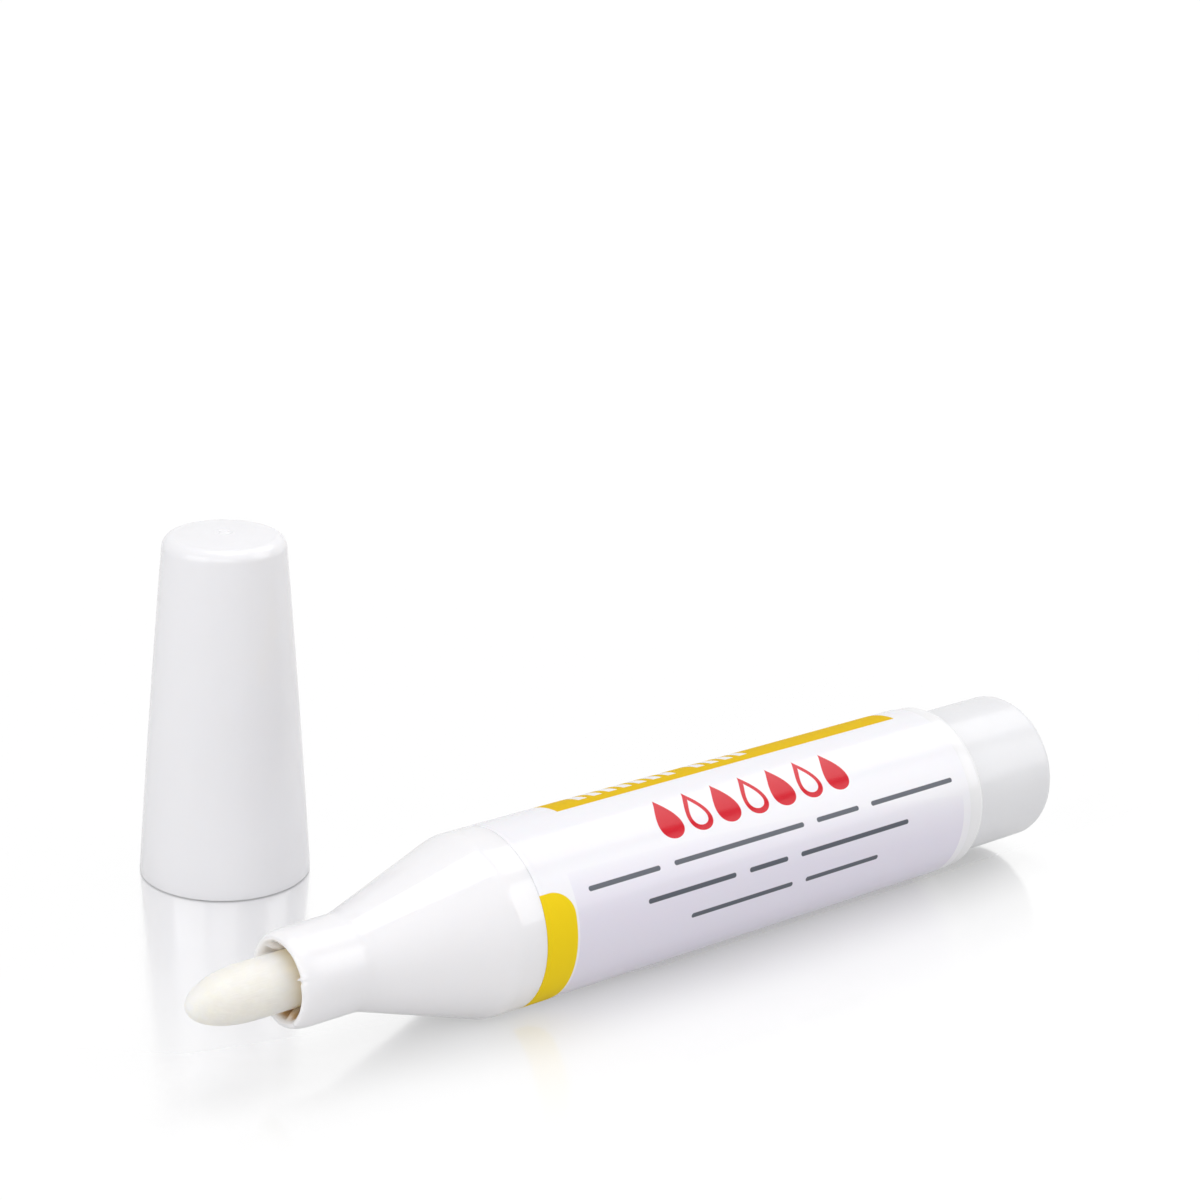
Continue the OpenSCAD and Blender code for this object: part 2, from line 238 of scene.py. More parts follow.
def seen_share(tree, rays):
    """How much of the lift a ray sees: all of it from the camera and through glass, less of it in gloss."""
    in_gloss = maths(tree, "MULTIPLY", rays.outputs["Is Glossy Ray"], LIFT_IN_GLOSS)
    seen = maths(tree, "MAXIMUM", rays.outputs["Is Camera Ray"], in_gloss)
    return maths(tree, "MAXIMUM", seen, rays.outputs["Is Transmission Ray"])


def polish_share(tree, rays, place):
    """The camera's share of polish: a ramp over the depth times a cubed ramp over y, which fall forwards."""
    depth = vectors(tree, "DOT_PRODUCT", place, tuple(LOOK_SIDEWAYS))
    back = add(tree, "SeparateXYZ", None, Vector=place).outputs[1]
    in_front = maths(tree, "POWER", ramp(tree, back, *POLISH_FRONT), POLISH_FALL)
    fade = maths(tree, "MULTIPLY", ramp(tree, depth, *POLISH_DEPTH), in_front)
    return maths(tree, "MULTIPLY", rays.outputs["Is Camera Ray"], maths(tree, "MULTIPLY", fade, POLISH))


# %% Finish of the floor
FLOOR_CHALK, FLOOR_SEEN, POLISH_BLUR = 0.70, 0.30, 0.14
LIFT_NEAR, LIFT_FAR, LIFT_REACH = 0.70, 1.0, (0.06, 0.46)


def grey(value):
    """An opaque grey."""
    return value, value, value, 1


def floor_finish():
    """White table: chalk, a lift that grows from LIFT_NEAR to LIFT_FAR over LIFT_REACH, and the polish."""
    material = bpy.data.materials.new("white_table")
    material.use_nodes = True
    tree = material.node_tree
    tree.nodes.remove(tree.nodes["Principled BSDF"])
    rays = add(tree, "LightPath")
    place = add(tree, "TexCoord").outputs["Object"]
    seen = seen_share(tree, rays)
    lift = ramp(tree, vectors(tree, "LENGTH", place), *LIFT_REACH, LIFT_NEAR, LIFT_FAR)
    own_light = add(tree, "Emission", None, Color=grey(1), Strength=maths(tree, "MULTIPLY", seen, lift))
    chalk = add(tree, "BsdfDiffuse", None, Color=grey(FLOOR_CHALK))
    seen_chalk = add(tree, "BsdfDiffuse", None, Color=grey(FLOOR_SEEN))
    polish = add(tree, "BsdfGlossy", None, Color=grey(1), Roughness=POLISH_BLUR)
    table = add(tree, "MixShader", None, a0=seen, a1=chalk.outputs[0], a2=seen_chalk.outputs[0])
    table = add(tree, "AddShader", None, a0=table.outputs[0], a1=own_light.outputs[0])
    polished = polish_share(tree, rays, place)
    whole = add(tree, "MixShader", None, a0=polished, a1=table.outputs[0], a2=polish.outputs[0])
    tree.links.new(whole.outputs[0], tree.nodes["Material Output"].inputs["Surface"])
    return material


# %% Lay the floor
FLOOR_SIDE, FLOOR_DROP = 6.0, 0.01 * MM

floor_mesh = bpy.data.meshes.new("floor")
side = FLOOR_SIDE / 2
floor_corners = [(-side, -side), (side, -side), (side, side), (-side, side)]
floor_mesh.from_pydata([(x, y, -FLOOR_DROP) for x, y in floor_corners], [], [(0, 1, 2, 3)])
floor_mesh.materials.append(floor_finish())
floor = bpy.data.objects.new("floor", floor_mesh)
bpy.context.scene.collection.objects.link(floor)
print("floor:", FLOOR_SIDE, "m square,", len(floor_mesh.materials[0].node_tree.nodes), "nodes")

# %% [markdown]
# ## Light
# The light is that of a white product tent: a large soft box above, smaller ones at both sides and in
# front, and white all round. The world gives the even part. What the camera and the gloss see of it is
# plain white.

# %% Light the tent
WORLD_LIGHT = 0.33
MIDDLE = (0, 0, 0.01)
SOFT_BOXES = {
    "box_above": {"place": (0.10, 0.09, 1.2), "aim": (0.10, 0.09, 0), "size": (0.5, 0.8), "watts": 4.6},
    "box_left": {"place": (-0.62, -0.05, 0.27), "aim": MIDDLE, "size": (0.5, 0.5), "watts": 1.75},
    "box_fill": {"place": (-0.45, -0.62, 0.36), "aim": MIDDLE, "size": (0.5, 0.4), "watts": 1.15},
    "box_front": {"place": (0.56, -0.56, 0.42), "aim": MIDDLE, "size": (0.50, 0.62), "watts": 2.1},
    "box_right": {"place": (0.68, 0.08, 0.84), "aim": MIDDLE, "size": (0.60, 0.50), "watts": 2.1}}


def light_world():
    """White for the camera and for gloss, a softer white for the light that falls on the object."""
    world = bpy.data.worlds.new("tent")
    bpy.context.scene.world = world
    world.use_nodes = True
    tree = world.node_tree
    rays = add(tree, "LightPath")
    seen = maths(tree, "MAXIMUM", rays.outputs["Is Camera Ray"], rays.outputs["Is Glossy Ray"])
    seen = maths(tree, "MAXIMUM", seen, rays.outputs["Is Transmission Ray"])
    tree.links.new(ramp(tree, seen, 0.0, 1.0, WORLD_LIGHT, 1.0), tree.nodes["Background"].inputs["Strength"])
    tree.nodes["Background"].inputs["Color"].default_value = grey(1)


def soft_box(name, place, aim, size, watts):
    """A rectangular soft box at place, in metres, turned to the point aim."""
    data = bpy.data.lights.new(name, "AREA")
    data.shape = "RECTANGLE"
    data.size, data.size_y = size
    data.energy = watts
    lamp = bpy.data.objects.new(name, data)
    lamp.location = place
    lamp.rotation_euler = (Vector(aim) - Vector(place)).to_track_quat("-Z", "Y").to_euler()
    bpy.context.scene.collection.objects.link(lamp)


light_world()
for box_name, box in SOFT_BOXES.items():
    soft_box(box_name, **box)

bpy.context.scene.view_settings.view_transform = "Standard"

# %% [markdown]
# ## Shapes
# Nearly every piece of the pen is turned: a profile carried round an axis. A profile is a list of points
# (place along the axis, radius), with its rounded stretches worked out as arcs and bends. The grid that
# it sweeps is one array of points, in which a rib, a groove or a mark is simply added to the radius.

# %% Helpers for profiles
COLUMNS, ROW_STEP, BEAD_ROWS = 384, 0.35, 13


def arc(centre, half, start, stop, count):
    """Part of an ellipse: place = centre + half*sin(t), radius = centre + half*cos(t), t in degrees."""
    t = np.radians(np.linspace(start, stop, count))
    return np.stack([centre[0] + half[0] * np.sin(t), centre[1] + half[1] * np.cos(t)], axis=1)


def bend(start, corner, stop, count):
    """Quadratic curve from start to stop whose tangents meet at corner."""
    t = np.linspace(0, 1, count)[:, None]
    return (1 - t) ** 2 * np.array(start) + 2 * t * (1 - t) * np.array(corner) + t**2 * np.array(stop)


def bead(radius, top, place, width):
    """A low round rise from radius to top, centred on place."""
    start, stop = (place - width / 2, radius), (place + width / 2, radius)
    return bend(start, (place, 2 * top - radius), stop, BEAD_ROWS)


def dense(points, step=ROW_STEP):
    """The same outline with points at most step apart, so that light runs evenly along straight stretches."""
    gaps = np.linalg.norm(np.diff(points, axis=0), axis=1)
    counts = np.maximum(np.ceil(gaps / step).astype(int), 1)
    spans = [np.linspace(a, b, n, endpoint=False) for a, b, n in zip(points[:-1], points[1:], counts)]
    return np.vstack([*spans, points[-1:]])


def smooth_step(value):
    """0 below 0, 1 above 1, and the even curve v*v*(3 - 2*v) between."""
    value = np.clip(value, 0, 1)
    return value * value * (3 - 2 * value)


# %% Helpers that carry a profile round an axis
def around():
    """Angles of the grid's columns, from the side that faces the viewer, upwards."""
    return np.linspace(0, 2 * np.pi, COLUMNS, endpoint=False)


def on_pen(place, radius, angle):
    """Points round the pen's axis: x = seam + place, y = axis - radius*cos, z = axis + radius*sin."""
    place, radius, angle = np.broadcast_arrays(place, radius, angle)
    return np.stack([SEAM_X + place * MM, PEN_Y - radius * np.cos(angle) * MM,
                     PEN_Z + radius * np.sin(angle) * MM], axis=-1)


def on_cap(height, radius, angle):
    """Points round the cap's axis, which stands upright: x = axis + radius*cos, y = axis - radius*sin."""
    height, radius, angle = np.broadcast_arrays(height, radius, angle)
    return np.stack([CAP_X + radius * np.cos(angle) * MM, CAP_Y - radius * np.sin(angle) * MM,
                     height * MM], axis=-1)


def turned(profile, on_axis):
    """The grid of a profile carried once round the pen's or the cap's axis."""
    return on_axis(profile[:, :1], profile[:, 1:], around())


print("a turned piece has", COLUMNS, "columns")

# %% [markdown]
# The grid becomes a mesh in one go. Each cell of the grid is a face. A closed outline, such as that of a
# tube, joins its last row to its first, and an outline that starts and ends on the axis closes in two
# points. The volume that the faces enclose is printed: it is positive where they all point outwards.


# %% Helpers that turn a grid of points into a mesh
def grid_faces(rows, columns, ring):
    """Face (i, j) joins points (i, j), (i+1, j), (i+1, j+1), (i, j+1). A ring joins last row to first."""
    index = np.arange(rows * columns).reshape(rows, columns)
    low, high = (index, np.roll(index, -1, axis=0)) if ring else (index[:-1], index[1:])
    cells = np.stack([low, high, np.roll(high, -1, axis=1), np.roll(low, -1, axis=1)], axis=-1)
    return cells.reshape(-1, 4)


def enclosed_volume(flat, faces):
    """The sum of a.(b x c) + a.(c x d) over the faces a b c d, divided by 6."""
    a, b, c, d = (flat[faces[:, k]] for k in range(4))
    return (np.einsum("ij,ij->i", a, np.cross(b, c)) + np.einsum("ij,ij->i", a, np.cross(c, d))).sum() / 6


def mesh_from_faces(name, flat, faces):
    """A mesh of four-cornered faces, written as whole arrays."""
    mesh = bpy.data.meshes.new(name)
    mesh.vertices.add(len(flat))
    mesh.vertices.foreach_set("co", flat.astype(np.float32).ravel())
    mesh.loops.add(faces.size)
    mesh.loops.foreach_set("vertex_index", faces.astype(np.int32).ravel())
    mesh.polygons.add(len(faces))
    mesh.polygons.foreach_set("loop_start", np.arange(0, faces.size, 4, dtype=np.int32))
    mesh.update(calc_edges=True)
    return mesh


# %% Helpers for the map and the poles
POLE_GAP = 1e-9


def lay_map(mesh, map_grid):
    """Gives each corner its place on the map, a grid with one more column than the ring of points has."""
    low, high = map_grid, np.roll(map_grid, -1, axis=0)
    corners = np.stack([low[:, :-1], high[:, :-1], high[:, 1:], low[:, 1:]], axis=2)
    mesh.uv_layers.new(name="film").uv.foreach_set("vector", corners.astype(np.float32).ravel())


def close_poles(mesh):
    """Merges the first row's points into one, and the last row's, since all of a row lie on the axis."""
    work = bmesh.new()
    work.from_mesh(mesh)
    bmesh.ops.remove_doubles(work, verts=work.verts, dist=POLE_GAP)
    work.to_mesh(mesh)
    work.free()


# %% Helper that makes a piece
SHARP = 32


def piece_from_grid(name, points, ring, finish, body, stands_for, map_grid=None, sharp=SHARP):
    """A closed piece with its finish, on its body, in place of the CAD node that it stands for."""
    faces = grid_faces(*points.shape[:2], ring)
    flat = points.reshape(-1, 3)
    mesh = mesh_from_faces(name, flat, faces)
    if map_grid is not None:
        lay_map(mesh, map_grid)
    if not ring:
        close_poles(mesh)
    mesh.shade_smooth()
    mesh.set_sharp_from_angle(angle=math.radians(sharp))
    mesh.materials.append(finish)
    piece = bpy.data.objects.new(name, mesh)
    bpy.context.scene.collection.objects.link(piece)
    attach(piece, body)
    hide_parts(stands_for)
    print(f"{name}: {len(mesh.polygons)} faces, {1e9 * enclosed_volume(flat, faces):.1f} mm3")
    return piece


# %% [markdown]
# ## White moulded plastic
# Nose, barrel, tail and cap are glossy white polypropylene. It isn't a flat white: it lets a little light
# in, its gloss is uneven in soft patches, and its surface has the faint orange peel of the mould. The
# nose has three places more: a satin front tube; the bore's wall, whitened as painted light that stands in
# for light let through the thin wall; and the oil that wets the bore, brown in its depth and at its bottom,
# partly oil and partly painted shade.

# %% Bore with painted light, oil with painted shade, and satin of the front tube
# The bore's whiter wall is painted light.
OIL_AND_PAINTED_SHADE, BORE_PAINTED_LIGHT = (0.70, 0.50, 0.28, 1), (0.98, 0.955, 0.96, 1)
BORE_WALL = (3.35 * MM, 3.25 * MM)
# Painted shade and oil: brown deep in the bore and in a pool at its bottom, under the nib.
OIL_AND_SHADE_DEEP, SHADE_POOL_FRONT = (RIM + 1.2, RIM + 3.0), (RIM + 0.3, RIM + 0.9)
SHADE_POOL_HEIGHT = (-1.6 * MM, -2.6 * MM)
TUBE_SATIN, SATIN_PLACES = 0.13, (-17.0, -12.0)


def bore_light_and_oil_shade(tree, place):
    """Shares of the bore wall, whitened as painted light, and of oil with painted shade: it darkens the deep
    bore, and at the bottom it comes near the lip.
    """
    apart = add(tree, "SeparateXYZ", None, Vector=place).outputs
    aside = maths(tree, "SUBTRACT", apart[1], PEN_Y)
    above = maths(tree, "SUBTRACT", apart[2], PEN_Z)
    squares = maths(tree, "ADD", maths(tree, "MULTIPLY", aside, aside), maths(tree, "MULTIPLY", above, above))
    inside = ramp(tree, maths(tree, "SQRT", squares), *BORE_WALL)
    deep = ramp(tree, apart[0], *pen_places(*OIL_AND_SHADE_DEEP))
    behind_lip = ramp(tree, apart[0], *pen_places(*SHADE_POOL_FRONT))
    shade_pool = maths(tree, "MULTIPLY", ramp(tree, above, *SHADE_POOL_HEIGHT), behind_lip)
    return inside, maths(tree, "MULTIPLY", inside, maths(tree, "MAXIMUM", deep, shade_pool))


def front_tube(tree, place, shade, rough):
    """The nose's colour and roughness with the bore's painted light, its oil with painted shade, and the
    satin of the front tube added.
    """
    inside, oil = bore_light_and_oil_shade(tree, place)
    # Painted light: the bore's wall is lighter than the outside plastic.
    shade = blend_colour(tree, inside, shade, BORE_PAINTED_LIGHT)
    # Painted shade and oil: the bore darkens to brown.
    shade = blend_colour(tree, oil, shade, OIL_AND_PAINTED_SHADE)
    along = add(tree, "SeparateXYZ", None, Vector=place).outputs[0]
    satin = ramp(tree, along, *pen_places(*SATIN_PLACES), TUBE_SATIN, 0.0)
    return shade, maths(tree, "ADD", rough, satin)


# %% White plastic
PATCH_SCALE, PATCH_DETAIL, PATCH_DARKER, PATCH_SPAN, PATCH_ROUGHER = 60.0, 1.0, 0.985, (0.2, 0.8), 0.03
PEEL_SCALE, PEEL_STRENGTH, PEEL_DEPTH = 1400.0, 0.10, 0.04 * MM
PLASTIC_IOR, PLASTIC_GLOW = 1.49, (1.0, 0.94, 0.88)


def white_plastic(name, colour, roughness, glow, glow_depth, shine=0.5, front=False):
    """Glossy white plastic: soft changes of colour and gloss, orange peel, and light let in to a depth."""
    material, tree, shader = start_material(
        name, Subsurface_Weight=glow, Subsurface_Scale=glow_depth, Subsurface_Radius=PLASTIC_GLOW,
        Specular_IOR_Level=shine, IOR=PLASTIC_IOR)
    place = add(tree, "TexCoord").outputs["Object"]
    patches = noise(tree, place, PATCH_SCALE, PATCH_DETAIL)
    darker = tuple(PATCH_DARKER * c for c in colour)
    shade = blend_colour(tree, patches, (*colour, 1), (*darker, 1))
    rough = ramp(tree, patches, *PATCH_SPAN, roughness - PATCH_ROUGHER, roughness + PATCH_ROUGHER)
    if front:
        shade, rough = front_tube(tree, place, shade, rough)
    dress(tree, shader, shade, rough, noise(tree, place, PEEL_SCALE), PEEL_STRENGTH, PEEL_DEPTH)
    return material


nose_white = white_plastic(
    "nose_white", (0.88, 0.87, 0.89), roughness=0.09, glow=0.40, glow_depth=1.0 * MM, front=True)
barrel_white = white_plastic(
    "barrel_white", (0.855, 0.85, 0.865), roughness=0.18, glow=0.25, glow_depth=0.7 * MM)
tail_white = white_plastic(
    "tail_white", (0.79, 0.79, 0.81), roughness=0.235, glow=0.25, glow_depth=0.7 * MM, shine=0.38)
cap_white = white_plastic(
    "cap_white", (0.87, 0.865, 0.89), roughness=0.16, glow=0.25, glow_depth=0.7 * MM)
print("white plastics:", [m.name for m in bpy.data.materials if m.name.endswith("_white")])

# %% [markdown]
# ## Cap
# The cap stands on its mouth. It tapers with a very slight crown, ends in a soft edge and a low dome,
# and carries the dot that the injection gate left in the middle of its top. One outline gives both its
# inside and its outside, so the wall has its true thickness when the cap is lifted.

# %% Taper and dome of the cap
CAP_TOP_R, CAP_EDGE, CAP_DOME, CAP_CROWN = 5.34, 1.1, 0.25, 0.08
GATE_R, GATE_W, GATE_DEPTH = 0.55, 0.16, 0.07
WALL_TOP = CAP_H - CAP_DOME - CAP_EDGE


def cap_out(height):
    """Outer radius of the cap: a straight taper with a slight crown."""
    share = height / WALL_TOP
    return CAP_R - (CAP_R - CAP_TOP_R) * share + 4 * CAP_CROWN * share * (1 - share)


def cap_top(radius, top_r):
    """Height of the dome, less the moat round the gate's dot."""
    moat = GATE_DEPTH * np.exp(-(((radius - GATE_R) / GATE_W) ** 2))
    return CAP_H - CAP_DOME * (radius / top_r) ** 2 - moat


# %% Inside of the cap
CAP_WALL, CAP_RIM_W, CAP_ROOF, INNER_ROWS = 0.9, 0.5, 1.0, 24
CONE_LEN, TUBE_R = 11.16, 3.88
ROOF = CAP_H - CAP_DOME - CAP_ROOF
CAP_TAPER = (CAP_R - CAP_TOP_R) / WALL_TOP
CONE_SLOPE = (SHOULDER_R - TUBE_R) / CONE_LEN


def cap_inside():
    """From the roof's middle, round its corner and down the wall to the mouth, which widens to the rim."""
    corner_r = cap_out(ROOF) - CAP_WALL - CAP_EDGE
    corner = arc((ROOF - CAP_EDGE, corner_r), (CAP_EDGE, CAP_EDGE), 90, 0, 9)
    mouth_h = (CAP_WALL - CAP_RIM_W) / (CONE_SLOPE - CAP_TAPER)
    down = np.linspace(ROOF - CAP_EDGE, mouth_h, INNER_ROWS)
    roof = dense(np.array([[ROOF, 0.0], [ROOF, corner[0, 1]]]))[:-1]
    return np.vstack([roof, corner, np.stack([down, cap_out(down) - CAP_WALL], axis=1)])


# %% Outside of the cap
CAP_FOOT, FOOT_STEP, WALL_ROWS, DOME_ROWS = 0.18, 0.1, 60, 70


def cap_outside():
    """From the rim that the cap stands on, up the wall, over the soft edge and in along the dome."""
    foot_r = cap_out(CAP_FOOT) - CAP_FOOT
    top_r = cap_out(WALL_TOP) - CAP_EDGE
    up = np.linspace(CAP_FOOT, WALL_TOP, WALL_ROWS)
    inward = np.linspace(top_r, 0, DOME_ROWS)
    return np.vstack([
        dense(np.array([[0.0, CAP_R - CAP_RIM_W], [0.0, foot_r]]), FOOT_STEP),
        arc((CAP_FOOT, foot_r), (-CAP_FOOT, CAP_FOOT), 90, 0, 6)[1:],
        np.stack([up, cap_out(up)], axis=1)[1:],
        arc((WALL_TOP, top_r), (CAP_EDGE, CAP_EDGE), 0, 90, 16)[1:],
        np.stack([cap_top(inward, top_r), inward], axis=1)[1:]])


# %% Turn the cap
cap_points = turned(np.vstack([cap_inside(), cap_outside()]), on_cap)
piece_from_grid("cap_outer", cap_points, False, cap_white, "cap", "cap_shell")

# %% [markdown]
# ## Nose
# The nose is one moulding: a short shoulder, a cone and a thin front tube with a soft lip. Its rear part
# is a spigot inside the barrel, with a groove for a seal ring. One closed outline holds all of it.

# %% Outside of the nose
LIP_LEN, LIP_DROP, SHOULDER_LEN = 1.85, 0.42, 3.04
TUBE_BEND, SHOULDER_BEND, LABEL_EDGE, SPIGOT_R = 0.6, 0.6, 0.05, 6.2
CONE_END = -(SHOULDER_LEN + CONE_LEN)


def nose_outside():
    """From the lip along tube, cone and shoulder to the label's edge, and under the label to the barrel."""
    slope = np.array([CONE_LEN, SHOULDER_R - TUBE_R]) / math.hypot(CONE_LEN, SHOULDER_R - TUBE_R)
    root, corner = np.array([CONE_END, TUBE_R]), np.array([-SHOULDER_LEN, SHOULDER_R])
    return np.vstack([
        arc((RIM + LIP_LEN, TUBE_R - LIP_DROP), (LIP_LEN, LIP_DROP), -90, 0, 18),
        bend(root - (TUBE_BEND, 0), root, root + TUBE_BEND * slope, 11),
        bend(corner - SHOULDER_BEND * slope, corner, corner + (SHOULDER_BEND, 0), 11),
        [(LABEL_START - LABEL_EDGE, SHOULDER_R), (LABEL_START, SHOULDER_R - LABEL_EDGE),
         (LABEL_START, BARREL_R), (0, BARREL_R), (0, SPIGOT_R)]])


# %% Inside of the nose
BORE_R, FLARE, FLARE_LEN, FLARE_TURN, EDGE = 3.0, 0.28, 0.9, 0.18, 0.3
SEAT, SEAT_WALL, SEAT_HOLE_R = -4.0, 1.2, 2.1
CHAMBER_R, ROOM_R, COLLAR = 4.8, 4.4, -0.35


def nose_inside():
    """From the spigot's end forward through the valve's chamber and seat, and along the bore to its flare."""
    seat_front = SEAT - SEAT_WALL
    return np.vstack([
        [(SPIGOT_END - EDGE, SPIGOT_R), (SPIGOT_END, SPIGOT_R - EDGE), (SPIGOT_END, CHAMBER_R),
         (COLLAR, CHAMBER_R), (COLLAR, ROOM_R), (SEAT, ROOM_R), (SEAT, SEAT_HOLE_R),
         (seat_front, SEAT_HOLE_R), (seat_front, BORE_R)],
        bend((RIM + FLARE_LEN, BORE_R), (RIM + FLARE_TURN, BORE_R), (RIM, BORE_R + FLARE), 12)])


# %% Whole outline of the nose
RING_W, RING_FLOOR_R, RING_PLACE = 1.12, 5.4, 3.6
BARREL_BORE_R, BEAD_PLACE, BEAD_W, NOSE_STEP = 6.3, 7.6, 1.2, 0.38


def ring_groove(place):
    """The four corners of a square groove for a seal ring, centred on place."""
    front, rear = place - RING_W / 2, place + RING_W / 2
    return [(front, SPIGOT_R), (front, RING_FLOOR_R), (rear, RING_FLOOR_R), (rear, SPIGOT_R)]


def nose_profile():
    """The whole closed outline, with the seal's groove and a bead that grips the barrel on the spigot."""
    spigot = np.vstack([ring_groove(RING_PLACE), bead(SPIGOT_R, BARREL_BORE_R, BEAD_PLACE, BEAD_W)])
    return dense(np.vstack([nose_outside(), spigot, nose_inside()]), NOSE_STEP)


print("outline of the nose:", len(nose_profile()), "points")

# %% [markdown]
# Twelve ribs inside the tube hold the nib and leave ways for the oil, and the lip is slightly uneven,
# with one thin flash where the mould closed. Both depend on the angle, so they are added to the grid.

# %% Ribs of the bore
RIBS, RIB_W, RIB_H, RIB_END, RIB_SIDE, RIB_LEAD, RIB_FADE = 12, 0.5, 0.67, -9.85, 0.07, (0.2, 1.3), 0.2
HAIR = 0.01


def add_ribs(place, radius, angle):
    """Takes the ribs off the bore's radius: a flat crest, steep sides, and a lead-in behind the lip."""
    pitch = 2 * np.pi / RIBS
    aside = np.abs((angle % pitch) - pitch / 2) * (BORE_R - RIB_H / 2)
    height = RIB_H * smooth_step((RIB_W / 2 + RIB_SIDE - aside) / (2 * RIB_SIDE))
    lead = smooth_step((place - RIM - RIB_LEAD[0]) / RIB_LEAD[1]) * smooth_step((RIB_END - place) / RIB_FADE)
    in_bore = (radius < BORE_R + FLARE - 2 * HAIR) & (place < RIB_END)
    return radius - in_bore * lead * height


# %% Uneven lip
LIP_WAVES = ((1.0, 3, 0.4), (0.6, 7, 2.0), (0.5, 13, 1.1))
LIP_WAVE, LIP_STEP, LIP_REACH = 0.03, 0.12, 1.0
PROUD, PROUD_FROM, PROUD_TO = (-56, 21), 9, 5
FLASH, FLASH_W = 25, 1.8


def uneven_lip(place, angle):
    """How far the lip stands back: waves of size*sin(n*angle + phase), a step, and none at the flash."""
    degrees = (np.degrees(angle) + 180) % 360 - 180
    waves = sum(size * np.sin(n * angle + phase) for size, n, phase in LIP_WAVES)
    wave = waves / sum(size for size, n, phase in LIP_WAVES)
    proud = smooth_step((degrees - PROUD[0]) / PROUD_FROM) * smooth_step((PROUD[1] - degrees) / PROUD_TO)
    flash = np.exp(-(((degrees - FLASH) / FLASH_W) ** 2))
    back = LIP_WAVE * (1 + wave) + LIP_STEP * (1 - proud)
    near_lip = smooth_step((RIM + LIP_REACH - place) / LIP_REACH)
    return back * (1 - flash) * near_lip, flash


# %% Turn the nose
FLASH_LEAN, FLASH_REACH = 0.3, 0.15


def nose_grid():
    """The turned outline with ribs, an uneven lip, and one thin flash that leans into the bore."""
    place, radius = (nose_profile()[:, k:k + 1] for k in (0, 1))
    angle = around()[None, :]
    back, flash = uneven_lip(place, angle)
    back = back * (radius > BORE_R - HAIR)
    near_rim = np.exp(-(((place - RIM) / FLASH_REACH) ** 2)) * (radius < BORE_R + FLARE + HAIR)
    radius = add_ribs(place, radius, angle) - FLASH_LEAN * flash * near_rim
    return on_pen(place + back, radius, angle)


piece_from_grid("nose_section", nose_grid(), True, nose_white, "pen", "nose")

# %% [markdown]
# ## Barrel and tail
# Only the last two millimetres of the barrel are bare, and its rounded end shows there as a soft step
# before the thinner tail. The tail is a cup pressed into the barrel, closed by a flat disc whose centre
# keeps the gate's dot.

# %% Turn the barrel
BARREL_EDGE, BARREL_STEP, OUTLINE_GAP = 0.86, 0.6, 0.01


def barrel_profile():
    """A plain tube with a rounded rear edge."""
    return dense(np.vstack([
        [(0, BARREL_R)],
        arc((BARREL_END - BARREL_EDGE, BARREL_R - BARREL_EDGE), (BARREL_EDGE, BARREL_EDGE), 0, 90, 14),
        [(BARREL_END, BARREL_BORE_R), (0, BARREL_BORE_R), (0, BARREL_R - OUTLINE_GAP)]]), BARREL_STEP)


barrel_points = turned(barrel_profile(), on_pen)
piece_from_grid("barrel_tube", barrel_points, True, barrel_white, "pen", "barrel")

# %% Turn the tail
TAIL_EDGE, PLUG_WALL = 0.8, 1.3
PLUG_RING, PLUG_BEAD = BARREL_END - 2.6, BARREL_END - 5.6
DISC_STEP, DISC_GAP, DISC_SOFT, DISC_ROWS = 0.06, 0.5, 0.25, 80
DOT_SHARE, DOT_SOFT = 0.8, 0.15


def tail_disc(flat_r):
    """The tail's end from its edge to its middle: a sunk disc, in which the gate's dot stands up again."""
    inward = np.linspace(flat_r, 0, DISC_ROWS)
    sunk = DISC_STEP * smooth_step((flat_r - DISC_GAP - inward) / DISC_SOFT)
    dot = DOT_SHARE * DISC_STEP * smooth_step((GATE_R - inward) / DOT_SOFT)
    return np.stack([TAIL_END - sunk + dot, inward], axis=1)


def tail_profile():
    """From the cup's floor forward inside, round its mouth, and back outside to the middle of the end."""
    plug_bore = SPIGOT_R - PLUG_WALL
    flat_r = TAIL_R - TAIL_EDGE
    outline = np.vstack([
        [(TAIL_END - PLUG_WALL, 0), (TAIL_END - PLUG_WALL, plug_bore), (PLUG_FRONT, plug_bore),
         (PLUG_FRONT, SPIGOT_R - EDGE), (PLUG_FRONT + EDGE, SPIGOT_R)],
        bead(SPIGOT_R, BARREL_BORE_R, PLUG_BEAD, BEAD_W),
        ring_groove(PLUG_RING),
        [(BARREL_END, SPIGOT_R), (BARREL_END, TAIL_R)],
        arc((TAIL_END - TAIL_EDGE, flat_r), (TAIL_EDGE, TAIL_EDGE), 0, 90, 16)])
    return np.vstack([dense(outline), tail_disc(flat_r)[1:]])


tail_points = turned(tail_profile(), on_pen)
piece_from_grid("tail_plug", tail_points, False, tail_white, "pen", "rear_plug")

# %% [markdown]
# ## Label
# The label is a film of 0.08 mm, wrapped once and lapped underneath. It dips a little where it crosses
# the seam between nose and barrel. Its own map holds millimetres along the pen and round it, so the
# print can be placed like a drawing on paper. Words are left off: a row of oil drops, rows of plain
# bars and rows of ticks keep their place.

# %% Places, inks and painted shade of the print
DEGREE = SHOULDER_R * math.pi / 180
SOFT = 0.025
